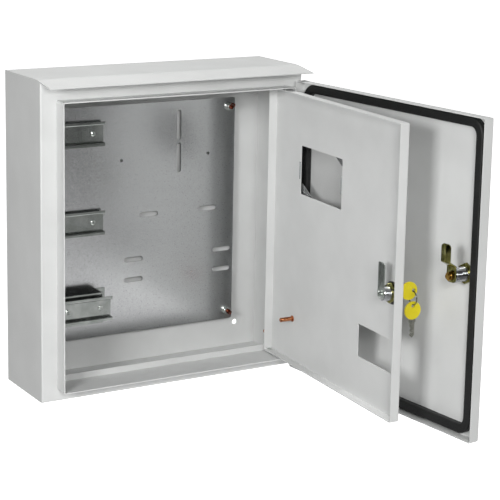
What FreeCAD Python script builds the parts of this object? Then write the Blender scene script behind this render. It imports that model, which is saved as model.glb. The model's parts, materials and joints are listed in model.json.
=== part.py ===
import FreeCAD, Part
import math
import os
import Sketcher

# Electric meter box in mm: X to the right, Y towards the wall, Z up.
# The origin is on the wall plane, at the centre of the four wall holes.

doc = FreeCAD.newDocument("MeterBox")
sheet = doc.addObject("Spreadsheet::Sheet", "dims")


class Size:
    def __init__(self, value, text):
        self.value = float(value)
        self.text = text

    def __add__(self, other):
        other = asSize(other)
        return Size(self.value + other.value, "(%s + %s)" % (self.text, other.text))

    def __sub__(self, other):
        other = asSize(other)
        return Size(self.value - other.value, "(%s - %s)" % (self.text, other.text))

    def __mul__(self, other):
        other = asSize(other)
        return Size(self.value * other.value, "(%s * %s)" % (self.text, other.text))

    def __truediv__(self, other):
        other = asSize(other)
        return Size(self.value / other.value, "(%s / %s)" % (self.text, other.text))

    def __neg__(self):
        return Size(-self.value, "(0 - %s)" % self.text)

    def __radd__(self, other):
        return asSize(other) + self

    def __rsub__(self, other):
        return asSize(other) - self

    def __rmul__(self, other):
        return asSize(other) * self


def asSize(number):
    if isinstance(number, Size):
        return number
    return Size(number, "%.6g" % number)


def cosOf(turn):
    return Size(math.cos(math.radians(turn.value)), "cos(%s)" % turn.text)


def sinOf(turn):
    return Size(math.sin(math.radians(turn.value)), "sin(%s)" % turn.text)


def rootOf(size):
    return Size(math.sqrt(size.value), "sqrt(%s)" % size.text)


rows = []


def dim(name, value, note):
    rows.append(name)
    row = len(rows)
    sheet.set("A%d" % row, note)
    sheet.set("B%d" % row, "%g" % value)
    sheet.setAlias("B%d" % row, name)
    return Size(value, "dims." + name)


# Carcass
boxWidth = dim("boxWidth", 400, "outer width")
boxHeight = dim("boxHeight", 436, "underside to roof")
boxDepth = dim("boxDepth", 117, "wall to front border")
bodySheet = dim("bodySheet", 1.5, "body sheet thickness")
bodyBend = dim("bodyBend", 2, "outer bend radius of the body")
boltSpanX = dim("boltSpanX", 330, "wall holes, across")
boltSpanZ = dim("boltSpanZ", 354, "wall holes, up")
boltHole = dim("boltHole", 8, "wall hole diameter")
boltRise = dim("boltRise", 213.5, "underside to centre of wall holes")

# Rain lip and throat of the door opening
lipInset = dim("lipInset", 22.5, "side wall to lip")
lipRise = dim("lipRise", 15.5, "underside to lip")
lipHeight = dim("lipHeight", 393.5, "lip, outer height")
lipReach = dim("lipReach", 22.5, "lip ahead of the border")
lipSheet = dim("lipSheet", 1.5, "lip sheet thickness")
lipCorner = dim("lipCorner", 3, "lip outer corner radius")
throatDepth = dim("throatDepth", 27, "border to inner stop")
stopWidth = dim("stopWidth", 8.5, "inner stop, width")

# Roof
roofSheet = dim("roofSheet", 1.5, "roof sheet thickness")
roofBend = dim("roofBend", 11, "roof bend behind the border")
roofRound = dim("roofRound", 70, "radius of the roof bend")
visorReach = dim("visorReach", 30.5, "visor ahead of the border")
visorDrop = dim("visorDrop", 6.5, "fall of the visor")

# Mounting plate
plateSheet = dim("plateSheet", 1.5, "plate thickness")
plateCorner = dim("plateCorner", 3, "plate corner radius")
plateGap = dim("plateGap", 9, "back wall to plate")
studSpanX = dim("studSpanX", 286, "plate studs, across")
studSpanZ = dim("studSpanZ", 306, "plate studs, up")
plateEdgeX = dim("plateEdgeX", 10, "plate stud to side edge of the plate")
plateEdgeZ = dim("plateEdgeZ", 13, "plate stud to top or bottom edge of the plate")
plateWidth = studSpanX + 2 * plateEdgeX
plateHeight = studSpanZ + 2 * plateEdgeZ
studWidth = dim("studWidth", 6, "plate stud diameter")
studCollar = dim("studCollar", 11, "stud collar diameter")
studReach = dim("studReach", 10.5, "stud ahead of the plate")
studPlay = dim("studPlay", 0.4, "plate hole clearance on the radius")
nutFlats = dim("nutFlats", 10, "plate nut across flats")
nutHeight = dim("nutHeight", 5, "plate nut height")
washerWidth = dim("washerWidth", 12, "plate washer diameter")
washerThick = dim("washerThick", 1.6, "plate washer thickness")
slotLong = dim("slotLong", 30, "meter slot length")
slotWide = dim("slotWide", 7, "meter slot width")
meterCentre = dim("meterCentre", 61.4, "meter slots right of centre")
middleSlotSpan = dim("middleSlotSpan", 96, "middle meter slots, apart")
middleSlotRise = dim("middleSlotRise", 5.3, "middle meter slots above centre")
lowSlotSpan = dim("lowSlotSpan", 144.4, "low meter slots, apart")
lowSlotDrop = dim("lowSlotDrop", 58.7, "upper pair of low slots below centre")
lowSlotPitch = dim("lowSlotPitch", 29.8, "pitch of the low slots")
hangSlotLong = dim("hangSlotLong", 43, "upright slot length")
hangSlotRise = dim("hangSlotRise", 131.7, "upper upright slot above centre")
hangSlotPitch = dim("hangSlotPitch", 47.9, "pitch of the upright slots")
screwHole = dim("screwHole", 4.5, "screw hole diameter")
screwHoleRise = dim("screwHoleRise", 86.5, "screw holes above centre")
screwHoleLeft = dim("screwHoleLeft", 30.7, "left screw hole, left of centre")
screwHoleRight = dim("screwHoleRight", 109.2, "right screw hole, right of centre")

# Top-hat rails and their bracket
railWidth = dim("railWidth", 35, "rail width")
railDeep = dim("railDeep", 7.5, "rail depth")
railSheet = dim("railSheet", 1, "rail sheet thickness")
railChannel = dim("railChannel", 27, "rail channel, outer width")
railBend = dim("railBend", 1.6, "rail bend, outer radius")
railFold = dim("railFold", 0.6, "rail bend, inner radius")
railRim = dim("railRim", 0.3, "rounding of the rail's edges")
railLength = dim("railLength", 82, "rail length")
railStart = dim("railStart", 83.5, "left plate studs to the right end of the rails")
railEnd = studSpanX / 2 - railStart
upperRailBelow = dim("upperRailBelow", 24.8, "upper plate studs to the upper rail")
upperRailRise = studSpanZ / 2 - upperRailBelow
middleRailRise = dim("middleRailRise", 1.7, "middle rail above centre")
lowerRailAbove = dim("lowerRailAbove", 36.4, "lower plate studs to the lower rail")
lowerRailDrop = studSpanZ / 2 - lowerRailAbove
rivetSpan = dim("rivetSpan", 50.4, "rail rivets, apart")
rivetWidth = dim("rivetWidth", 4, "rivet shank diameter")
rivetHead = dim("rivetHead", 7, "rivet head diameter")
rivetHeadThick = dim("rivetHeadThick", 1.2, "rivet head thickness")
rivetHollow = dim("rivetHollow", 2.4, "rivet hollow diameter")
rivetTail = dim("rivetTail", 1.5, "rivet end behind the sheet")
bracketStand = dim("bracketStand", 24.5, "plate to bracket face")
bracketSheet = dim("bracketSheet", 1.5, "bracket sheet thickness")
bracketWidth = dim("bracketWidth", 60, "bracket over its legs")
bracketHeight = dim("bracketHeight", 44, "bracket height")
bracketFoot = dim("bracketFoot", 13.5, "bracket foot width")
bracketBend = dim("bracketBend", 2, "bracket outer bend radius")

# Earth studs
earthWidth = dim("earthWidth", 6, "earth stud diameter")
earthLong = dim("earthLong", 20, "earth stud length")
earthFlange = dim("earthFlange", 9, "earth stud weld flange")
bodyEarthBack = dim("bodyEarthBack", 52, "body earth stud behind the border")
bodyEarthRise = dim("bodyEarthRise", 36.5, "body earth stud above the underside")

# Weather door
outerHingeInset = dim("outerHingeInset", 16, "side wall to outer hinge axis")
outerHingeAhead = dim("outerHingeAhead", 22.5, "border to outer hinge axis")
outerTurn = dim("outerTurn", 95, "outer door opening angle")
outerWidth = dim("outerWidth", 378, "outer door width")
outerHeight = dim("outerHeight", 415.5, "outer door height")
outerRise = dim("outerRise", 2.5, "underside to outer door")
outerEdge = dim("outerEdge", 5, "hinge axis to outer door edge")
outerFace = dim("outerFace", 10.5, "hinge axis to outer door face")
outerFlange = dim("outerFlange", 15, "outer door depth")
doorSheet = dim("doorSheet", 1.2, "door sheet thickness")
doorCorner = dim("doorCorner", 2.5, "door corner radius")
doorBend = dim("doorBend", 2, "door bend radius")
gasketThick = dim("gasketThick", 8.3, "gasket thickness")
gasketBand = dim("gasketBand", 12.5, "gasket width")
gasketSide = dim("gasketSide", 9, "door edge to gasket, sides")
gasketFoot = dim("gasketFoot", 4.5, "door edge to gasket, bottom")
gasketHead = dim("gasketHead", 2.6, "door edge to gasket, top")
gasketRound = dim("gasketRound", 23, "gasket outer corner radius")
gasketSoft = dim("gasketSoft", 2.5, "rounding of the gasket's face")

# Outer hinges
hingeSpan = dim("hingeSpan", 290, "outer hinges, apart")
lugHeight = dim("lugHeight", 16, "hinge lug height")
lugRound = dim("lugRound", 3.4, "hinge lug radius")
hingePin = dim("hingePin", 4, "outer hinge pin diameter")
hingePlay = dim("hingePlay", 0.05, "pin clearance on the radius")
eyeThick = dim("eyeThick", 2.5, "hinge bracket eye thickness")
eyeGap = dim("eyeGap", 0.3, "gap between eye and lug")
pinHead = dim("pinHead", 6, "outer hinge pin head diameter")
pinHeadThick = dim("pinHeadThick", 1.2, "outer hinge pin head thickness")
notchStart = dim("notchStart", 5.4, "door face to hinge notch")
notchGap = dim("notchGap", 1.5, "notch beyond the lug")

# Locks
barrelWidth = dim("barrelWidth", 18, "lock barrel diameter")
collarWidth = dim("collarWidth", 22, "lock front collar diameter")
collarThick = dim("collarThick", 3, "lock front collar thickness")
plugWidth = dim("plugWidth", 12, "lock plug diameter")
plugPlay = dim("plugPlay", 0.05, "plug clearance on the radius")
tailWidth = dim("tailWidth", 8, "plug tail diameter")
lockNutFlats = dim("lockNutFlats", 24, "lock nut across flats")
lockNutHeight = dim("lockNutHeight", 5, "lock nut height")
camSheet = dim("camSheet", 2, "cam thickness")
camGap = dim("camGap", 0.3, "barrel end to cam")
outerLockIn = dim("outerLockIn", 34, "free edge to outer lock")
outerLockRise = dim("outerLockRise", 215.5, "underside to outer lock")
outerBarrel = dim("outerBarrel", 26.2, "outer barrel length from the face")
outerCamWidth = dim("outerCamWidth", 16.5, "outer cam width")
outerCamTip = dim("outerCamTip", 42.5, "outer cam reach")
camKneeLow = dim("camKneeLow", 13.5, "outer cam, start of the crank")
camKneeHigh = dim("camKneeHigh", 19.8, "outer cam, end of the crank")
camCrank = dim("camCrank", 10.5, "outer cam offset")
camNutFlats = dim("camNutFlats", 13, "cam nut across flats")
camNutHeight = dim("camNutHeight", 4.5, "cam nut height")
camNutTail = dim("camNutTail", 2, "tail beyond the cam nut")
camSlotGap = dim("camSlotGap", 1.5, "throat slot around the cam")
innerLockIn = dim("innerLockIn", 24.7, "free edge to inner lock")
innerLockRise = dim("innerLockRise", 183.4, "underside to inner lock")
innerBarrel = dim("innerBarrel", 17.0, "inner barrel length from the face")
innerCamWidth = dim("innerCamWidth", 14, "inner cam width")
innerCamTip = dim("innerCamTip", 41.7, "inner cam reach")
lockWasherWidth = dim("lockWasherWidth", 30, "lock washer diameter")
lockWasherThick = dim("lockWasherThick", 1, "lock washer thickness")
camScrewHead = dim("camScrewHead", 9.5, "cam screw head diameter")
camScrewThick = dim("camScrewThick", 2.6, "cam screw head height")
recessLong = dim("recessLong", 5.2, "cross recess, length")
recessWide = dim("recessWide", 1.1, "cross recess, width")
recessDeep = dim("recessDeep", 1.4, "cross recess, depth")
camTipRound = dim("camTipRound", 1.8, "rounding of the inner cam's end")

# Inner door
innerHingeInset = dim("innerHingeInset", 32, "side wall to inner hinge axis")
innerHingeBack = dim("innerHingeBack", 18, "border to inner hinge axis")
innerTurn = dim("innerTurn", 86.45, "inner door opening angle")
innerWidth = dim("innerWidth", 345.8, "inner door width")
innerGap = dim("innerGap", 1.8, "throat to inner door, top and bottom")
innerEdge = dim("innerEdge", 4.9, "hinge axis to inner door edge")
innerFace = dim("innerFace", 6.5, "hinge axis to inner door face")
innerFlange = dim("innerFlange", 13.5, "inner door depth")
innerPin = dim("innerPin", 4.5, "inner hinge pin diameter")
innerPinHead = dim("innerPinHead", 6.2, "inner hinge pin head diameter")
innerPinHeadThick = dim("innerPinHeadThick", 1.4, "inner hinge pin head thickness")
innerPinLift = dim("innerPinLift", 0.35, "sheet to inner hinge pin head")
innerPinTail = dim("innerPinTail", 2.5, "inner hinge pin beyond the throat")
windowStart = dim("windowStart", 74.5, "hinge edge to window")
windowWidth = dim("windowWidth", 112.6, "window width")
windowRise = dim("windowRise", 264, "underside to window")
windowHeight = dim("windowHeight", 68.5, "window height")
windowCorner = dim("windowCorner", 1.5, "window corner radius")
paneLap = dim("paneLap", 5, "pane behind the window's edge")
paneThick = dim("paneThick", 2, "pane thickness")
clipHeight = dim("clipHeight", 24, "pane clip height")
clipThick = dim("clipThick", 1.2, "pane clip thickness")
clipRise = dim("clipRise", 33, "window's lower edge to middle of the clips")
clipOut = dim("clipOut", 1.0, "window's edge to clip slit")
clipPlay = dim("clipPlay", 0.4, "slit around the clip")
clipProud = dim("clipProud", 1, "clip beyond the door sheet")
cornerIn = dim("cornerIn", 1, "pane edge to corner plate")
cornerLong = dim("cornerLong", 26, "pane corner plate, along the window")
cornerHigh = dim("cornerHigh", 14, "pane corner plate, height")
cornerSheet = dim("cornerSheet", 0.8, "pane corner plate thickness")
cutStart = dim("cutStart", 240.5, "hinge edge to breaker cut-out")
cutWidth = dim("cutWidth", 83.5, "breaker cut-out width")
cutRise = dim("cutRise", 76.5, "underside to breaker cut-out")
cutHeight = dim("cutHeight", 44.7, "breaker cut-out height")
cutCorner = dim("cutCorner", 1, "breaker cut-out corner radius")
doorEarthIn = dim("doorEarthIn", 61.2, "hinge edge to door earth stud")
doorEarthRise = dim("doorEarthRise", 80.4, "underside to door earth stud")

# Keys
keyHead = dim("keyHead", 24, "key head diameter")
keyHeadThick = dim("keyHeadThick", 3, "key head thickness")
keyHeadRound = dim("keyHeadRound", 0.9, "rounding of the key head")
keyEye = dim("keyEye", 5, "key eye diameter")
keyEyeOut = dim("keyEyeOut", 6.5, "key centre to eye")
keyStand = dim("keyStand", 23.5, "door face to key centre")
bladeWidth = dim("bladeWidth", 6.6, "key blade width")
bladeThick = dim("bladeThick", 2, "key blade thickness")
bladeLong = dim("bladeLong", 24, "key blade beyond the head")
bladeRoot = dim("bladeRoot", 5, "key blade inside the head")
bladeTooth = dim("bladeTooth", 1.8, "depth of the key cuts")
shoulderWidth = dim("shoulderWidth", 9.4, "key shoulder width")
shoulderLong = dim("shoulderLong", 3.5, "key shoulder length")
ringRadius = dim("ringRadius", 9, "key ring radius")
ringWire = dim("ringWire", 1.6, "key ring wire diameter")
ringPlay = dim("ringPlay", 0.6, "wire to eye where it hangs")

doc.recompute()
zero = Size(0, "0")


def bind(thing, path, size):
    thing.setExpression(path, size.text)


def newBody(label):
    body = doc.addObject("PartDesign::Body", label)
    body.Label = label
    body.AllowCompound = True
    return body


# The sketch lies on an origin plane, moved along that plane's normal: -Y for XZ, +Z for XY, +X for YZ.
def newSketch(body, plane, along=None):
    sketch = body.newObject("Sketcher::SketchObject", body.Label + "_sketch")
    for feature in body.Origin.OriginFeatures:
        if feature.Role == plane:
            sketch.AttachmentSupport = [(feature, "")]
    sketch.MapMode = "FlatFace"
    if along is not None:
        sketch.AttachmentOffset = FreeCAD.Placement(FreeCAD.Vector(0, 0, along.value), FreeCAD.Rotation())
        bind(sketch, "AttachmentOffset.Base.z", along)
    return sketch


def rule(sketch, size, *words):
    index = sketch.addConstraint(Sketcher.Constraint(*words, size.value))
    sketch.setExpression("Constraints[%d]" % index, size.text)


def pin(sketch, geometry, point, x, y):
    if x is not None:
        if x.text == "0":
            sketch.addConstraint(Sketcher.Constraint("PointOnObject", geometry, point, -2))
        else:
            rule(sketch, x, "DistanceX", -1, 1, geometry, point)
    if y is not None:
        if y.text == "0":
            sketch.addConstraint(Sketcher.Constraint("PointOnObject", geometry, point, -1))
        else:
            rule(sketch, y, "DistanceY", -1, 1, geometry, point)


def spot(x, y):
    return FreeCAD.Vector(x, y, 0)


def outline(sketch, points):
    first = len(sketch.Geometry)
    points = [(asSize(x), asSize(y)) for x, y in points]
    count = len(points)
    for i in range(count):
        a = points[i]
        b = points[(i + 1) % count]
        sketch.addGeometry(Part.LineSegment(spot(a[0].value, a[1].value), spot(b[0].value, b[1].value)))
    for i in range(count):
        sketch.addConstraint(Sketcher.Constraint("Coincident", first + i, 2, first + (i + 1) % count, 1))
    for i in range(count):
        pin(sketch, first + i, 1, points[i][0], points[i][1])


def rectangle(sketch, left, right, low, high):
    outline(sketch, [(left, low), (right, low), (right, high), (left, high)])


def arc(x, y, radius, start, end):
    circle = Part.Circle(spot(x, y), FreeCAD.Vector(0, 0, 1), radius)
    return Part.ArcOfCircle(circle, math.radians(start), math.radians(end))


def roundedRectangle(sketch, left, right, low, high, radius):
    first = len(sketch.Geometry)
    a = left.value
    b = right.value
    c = low.value
    d = high.value
    r = radius.value
    sketch.addGeometry(Part.LineSegment(spot(a + r, c), spot(b - r, c)))
    sketch.addGeometry(arc(b - r, c + r, r, -90, 0))
    sketch.addGeometry(Part.LineSegment(spot(b, c + r), spot(b, d - r)))
    sketch.addGeometry(arc(b - r, d - r, r, 0, 90))
    sketch.addGeometry(Part.LineSegment(spot(b - r, d), spot(a + r, d)))
    sketch.addGeometry(arc(a + r, d - r, r, 90, 180))
    sketch.addGeometry(Part.LineSegment(spot(a, d - r), spot(a, c + r)))
    sketch.addGeometry(arc(a + r, c + r, r, 180, 270))
    for i in range(8):
        sketch.addConstraint(Sketcher.Constraint("Tangent", first + i, 2, first + (i + 1) % 8, 1))
    sketch.addConstraint(Sketcher.Constraint("Horizontal", first))
    sketch.addConstraint(Sketcher.Constraint("Vertical", first + 2))
    sketch.addConstraint(Sketcher.Constraint("Horizontal", first + 4))
    sketch.addConstraint(Sketcher.Constraint("Vertical", first + 6))
    pin(sketch, first, 1, None, low)
    pin(sketch, first + 2, 1, right, None)
    pin(sketch, first + 4, 1, None, high)
    pin(sketch, first + 6, 1, left, None)
    for i in (3, 5, 7):
        sketch.addConstraint(Sketcher.Constraint("Equal", first + 1, first + i))
    rule(sketch, radius, "Radius", first + 1)


def disc(sketch, x, y, width):
    index = sketch.addGeometry(Part.Circle(spot(x.value, y.value), FreeCAD.Vector(0, 0, 1), width.value / 2))
    rule(sketch, width, "Diameter", index)
    pin(sketch, index, 3, x, y)


def slot(sketch, x, y, length, width, upright=False):
    first = len(sketch.Geometry)
    half = (length - width) / 2
    h = half.value
    r = width.value / 2
    px = x.value
    py = y.value
    if upright:
        sketch.addGeometry(Part.LineSegment(spot(px + r, py - h), spot(px + r, py + h)))
        sketch.addGeometry(arc(px, py + h, r, 0, 180))
        sketch.addGeometry(Part.LineSegment(spot(px - r, py + h), spot(px - r, py - h)))
        sketch.addGeometry(arc(px, py - h, r, 180, 360))
    else:
        sketch.addGeometry(Part.LineSegment(spot(px - h, py - r), spot(px + h, py - r)))
        sketch.addGeometry(arc(px + h, py, r, -90, 90))
        sketch.addGeometry(Part.LineSegment(spot(px + h, py + r), spot(px - h, py + r)))
        sketch.addGeometry(arc(px - h, py, r, 90, 270))
    for i in range(4):
        sketch.addConstraint(Sketcher.Constraint("Tangent", first + i, 2, first + (i + 1) % 4, 1))
    sketch.addConstraint(Sketcher.Constraint("Vertical" if upright else "Horizontal", first))
    sketch.addConstraint(Sketcher.Constraint("Equal", first + 1, first + 3))
    rule(sketch, width / 2, "Radius", first + 1)
    if upright:
        pin(sketch, first + 1, 3, x, y + half)
        pin(sketch, first + 3, 3, None, y - half)
    else:
        pin(sketch, first + 1, 3, x + half, y)
        pin(sketch, first + 3, 3, x - half, None)


def pad(body, sketch, length, back=False):
    feature = body.newObject("PartDesign::Pad", body.Label + "_pad")
    feature.Profile = sketch
    feature.Length = length.value
    bind(feature, "Length", length)
    feature.Reversed = back
    sketch.Visibility = False
    doc.recompute()
    return feature


def pocket(body, sketch, length, back=False):
    before = body.Shape.Volume
    feature = body.newObject("PartDesign::Pocket", body.Label + "_pocket")
    feature.Profile = sketch
    feature.Length = length.value
    bind(feature, "Length", length)
    feature.Reversed = back
    sketch.Visibility = False
    doc.recompute()
    if feature.Shape.Volume > before - 1e-6:
        raise RuntimeError("nothing cut in " + body.Label)
    return feature


def revolve(body, sketch, axis):
    feature = body.newObject("PartDesign::Revolution", body.Label + "_turned")
    feature.Profile = sketch
    feature.ReferenceAxis = (sketch, [axis])
    feature.Angle = 360
    sketch.Visibility = False
    doc.recompute()
    return feature


def roundEdges(body, radius, chosen):
    base = body.Tip
    names = ["Edge%d" % (i + 1) for i, edge in enumerate(base.Shape.Edges) if chosen(edge.BoundBox)]
    feature = body.newObject("PartDesign::Fillet", body.Label + "_round")
    feature.Base = (base, names)
    feature.Radius = radius.value
    bind(feature, "Radius", radius)
    doc.recompute()
    return feature


def near(value, size):
    return abs(value - asSize(size).value) < 0.01


def alongX(box):
    return box.XLength > 1 and box.YLength < 0.01 and box.ZLength < 0.01


def alongZ(box):
    return box.ZLength > 1 and box.XLength < 0.01 and box.YLength < 0.01


# A door's own frame has its hinge axis as Z and is drawn shut; this turns it to the open place.
class DoorFrame:
    def __init__(self, x, y, turn):
        self.x = x
        self.y = y
        self.turn = turn

    def put(self, thing, x=zero, y=zero, z=zero):
        c = cosOf(self.turn)
        s = sinOf(self.turn)
        px = self.x + x * c - y * s
        py = self.y + x * s + y * c
        words = "create(<<placement>>; create(<<vector>>; %s; %s; %s); " % (px.text, py.text, z.text)
        words += "create(<<rotation>>; create(<<vector>>; 0; 0; 1); %s))" % self.turn.text
        thing.setExpression("Placement", words)


def putAt(thing, x=zero, y=zero, z=zero):
    words = "create(<<placement>>; create(<<vector>>; %s; %s; %s); " % (x.text, y.text, z.text)
    words += "create(<<rotation>>; create(<<vector>>; 0; 0; 1); 0))"
    thing.setExpression("Placement", words)


nodes = []


def keep(thing):
    nodes.append(thing)
    return thing


def group(label, things):
    thing = doc.addObject("Part::Compound", label)
    thing.Label = label
    thing.Links = things
    return keep(thing)


# Levels that several pieces share
low = -boltRise
top = boxHeight - boltRise
front = -boxDepth
half = boxWidth / 2
roofUnder = top - roofSheet
visorSlope = visorDrop / (roofBend + visorReach)
shellFrontTop = roofUnder - roofBend * visorSlope
lipLow = low + lipRise
lipHigh = lipLow + lipHeight
lipSide = half - lipInset
throatBack = front + throatDepth
plateBack = -bodySheet - plateGap
plateFront = plateBack - plateSheet
outerFrame = DoorFrame(half - outerHingeInset, front - outerHingeAhead, outerTurn)
innerFrame = DoorFrame(half - innerHingeInset, front + innerHingeBack, innerTurn)
outerLow = low + outerRise
outerHigh = outerLow + outerHeight
outerMiddle = (outerLow + outerHigh) / 2
outerFree = outerEdge - outerWidth
innerLow = lipLow + lipSheet + innerGap
innerHigh = lipHigh - lipSheet - innerGap
innerFree = innerEdge - innerWidth
outerLockX = outerFree + outerLockIn
outerLockZ = low + outerLockRise
innerLockX = innerFree + innerLockIn
innerLockZ = low + innerLockRise
hingeLevels = (outerMiddle - hingeSpan / 2, outerMiddle + hingeSpan / 2)

# Body shell, folded from sheet: side profile, hollow, door opening and wall holes
shell = newBody("enclosure_shell")
side = newSketch(shell, "YZ_Plane", -half)
outline(side, [(0, low), (front, low), (front, shellFrontTop), (front + roofBend, roofUnder), (0, roofUnder)])
pad(shell, side, boxWidth)
roundEdges(shell, bodyBend, lambda box: alongZ(box) and near(box.YMin, front)
           or alongX(box) and near(box.YMin, front) and near(box.ZMin, low))
hollow = newSketch(shell, "YZ_Plane", bodySheet - half)
outline(hollow, [(-bodySheet, low + bodySheet), (front + bodySheet, low + bodySheet),
                 (front + bodySheet, shellFrontTop - bodySheet),
                 (front + roofBend, roofUnder - bodySheet), (-bodySheet, roofUnder - bodySheet)])
pocket(shell, hollow, boxWidth - 2 * bodySheet, True)
mouth = newSketch(shell, "XZ_Plane", boxDepth)
roundedRectangle(mouth, -lipSide, lipSide, lipLow, lipHigh, lipCorner)
pocket(shell, mouth, bodySheet)
wallHoles = newSketch(shell, "XZ_Plane", bodySheet)
for sx in (-1, 1):
    for sz in (-1, 1):
        disc(wallHoles, boltSpanX / 2 * sx, boltSpanZ / 2 * sz, boltHole)
pocket(shell, wallHoles, bodySheet)
keep(shell)

# Rain lip, throat and inner stop as one folded ring
frame = newBody("door_frame")
ring = newSketch(frame, "XZ_Plane", -(throatBack + lipSheet))
roundedRectangle(ring, -lipSide, lipSide, lipLow, lipHigh, lipCorner)
roundedRectangle(ring, lipSheet - lipSide, lipSide - lipSheet, lipLow + lipSheet, lipHigh - lipSheet,
                 lipCorner - lipSheet)
pad(frame, ring, lipReach + throatDepth + lipSheet)
stop = newSketch(frame, "XZ_Plane", -(throatBack + lipSheet))
roundedRectangle(stop, -lipSide, lipSide, lipLow, lipHigh, lipCorner)
rectangle(stop, lipSheet + stopWidth - lipSide, lipSide - lipSheet - stopWidth,
          lipLow + lipSheet + stopWidth, lipHigh - lipSheet - stopWidth)
pad(frame, stop, lipSheet)
camFront = -outerHingeAhead - outerFace + outerBarrel + camGap + camCrank
camSlot = newSketch(frame, "YZ_Plane", -lipSide)
rectangle(camSlot, front + camFront - camSlotGap, front + camFront + camSheet + camSlotGap,
          outerLockZ - outerCamWidth / 2 - camSlotGap, outerLockZ + outerCamTip + camSlotGap)
pocket(frame, camSlot, lipSheet, True)
for level in (lipLow + lipSheet, lipHigh):
    pinHole = newSketch(frame, "XY_Plane", level)
    disc(pinHole, innerFrame.x, innerFrame.y, innerPin + 2 * hingePlay)
    pocket(frame, pinHole, lipSheet)
keep(frame)

# Roof sheet that bends softly into the visor
canopy = newBody("roof_canopy")
roofLine = newSketch(canopy, "YZ_Plane", -half)
outline(roofLine, [(0, roofUnder), (front + roofBend, roofUnder), (front - visorReach, roofUnder - visorDrop),
                   (front - visorReach, top - visorDrop), (front + roofBend, top), (0, top)])
pad(canopy, roofLine, boxWidth)
roundEdges(canopy, roofRound, lambda box: alongX(box) and near(box.YMin, front + roofBend) and near(box.ZMin, top))
keep(canopy)

# Galvanised mounting plate with its slots
railMiddle = -railEnd - railLength / 2
railLevels = (upperRailRise, middleRailRise, -lowerRailDrop)
plate = newBody("mounting_plate")
blank = newSketch(plate, "XZ_Plane", -plateBack)
roundedRectangle(blank, -plateWidth / 2, plateWidth / 2, -plateHeight / 2, plateHeight / 2, plateCorner)
pad(plate, blank, plateSheet)
slots = newSketch(plate, "XZ_Plane", -plateFront)
for sx in (-1, 1):
    slot(slots, meterCentre + middleSlotSpan / 2 * sx, middleSlotRise, slotLong, slotWide)
    slot(slots, meterCentre + lowSlotSpan / 2 * sx, -lowSlotDrop, slotLong, slotWide)
    slot(slots, meterCentre + lowSlotSpan / 2 * sx, -lowSlotDrop - lowSlotPitch, slotLong, slotWide)
slot(slots, meterCentre, hangSlotRise, hangSlotLong, slotWide, True)
slot(slots, meterCentre, hangSlotRise - hangSlotPitch, hangSlotLong, slotWide, True)
pocket(plate, slots, plateSheet)
holes = newSketch(plate, "XZ_Plane", -plateFront)
disc(holes, -screwHoleLeft, screwHoleRise, screwHole)
disc(holes, screwHoleRight, screwHoleRise, screwHole)
for sx in (-1, 1):
    for sz in (-1, 1):
        disc(holes, studSpanX / 2 * sx, studSpanZ / 2 * sz, studWidth + 2 * studPlay)
    for level in railLevels[:2]:
        disc(holes, railMiddle + rivetSpan / 2 * sx, level, rivetWidth)
pocket(plate, holes, plateSheet)
keep(plate)


# Turned and hexagonal hardware; each lies along its own Y, outwards from its seat towards -Y
def turnedY(label, points):
    body = newBody(label)
    profile = newSketch(body, "XY_Plane")
    outline(profile, points)
    revolve(body, profile, "V_Axis")
    return body


def turnedZ(label, points):
    body = newBody(label)
    profile = newSketch(body, "XZ_Plane")
    outline(profile, points)
    revolve(body, profile, "V_Axis")
    return body


def hexNut(label, flats, height, bore, outwards):
    body = newBody(label)
    profile = newSketch(body, "XZ_Plane")
    corner = flats / rootOf(asSize(3))
    outline(profile, [(0, corner), (-flats / 2, corner / 2), (-flats / 2, -corner / 2),
                      (0, -corner), (flats / 2, -corner / 2), (flats / 2, corner / 2)])
    pad(body, profile, height, outwards > 0)
    cone = newSketch(body, "XY_Plane")
    rim = flats * 0.48
    edge = corner + 0.5
    drop = (edge - rim) * 0.577
    outline(cone, [(rim, height * outwards), (edge, height * outwards), (edge, (height - drop) * outwards)])
    groove = body.newObject("PartDesign::Groove", label + "_groove")
    groove.Profile = cone
    groove.ReferenceAxis = (cone, ["V_Axis"])
    groove.Angle = 360
    doc.recompute()
    through = newSketch(body, "XZ_Plane")
    disc(through, zero, zero, bore)
    pocket(body, through, height, outwards < 0)
    return body


studTip = plateSheet + studReach
studs = []
washers = []
nuts = []
for sx in (-1, 1):
    for sz in (-1, 1):
        x = studSpanX / 2 * sx
        z = studSpanZ / 2 * sz
        stud = turnedY("plate_stud", [(0, plateGap), (studCollar / 2, plateGap), (studCollar / 2, 0),
                                      (studWidth / 2, 0), (studWidth / 2, 0.8 - studTip),
                                      (studWidth / 2 - 0.8, -studTip), (0, -studTip)])
        putAt(stud, x, plateBack, z)
        studs.append(stud)
        washer = turnedY("plate_washer", [(studWidth / 2, 0), (washerWidth / 2, 0),
                                          (washerWidth / 2, -washerThick), (studWidth / 2, -washerThick)])
        putAt(washer, x, plateFront, z)
        washers.append(washer)
        nut = hexNut("plate_nut", nutFlats, nutHeight, studWidth, -1)
        putAt(nut, x, plateFront - washerThick, z)
        nuts.append(nut)
group("plate_studs", studs)
group("plate_washers", washers)
group("plate_nuts", nuts)


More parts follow.
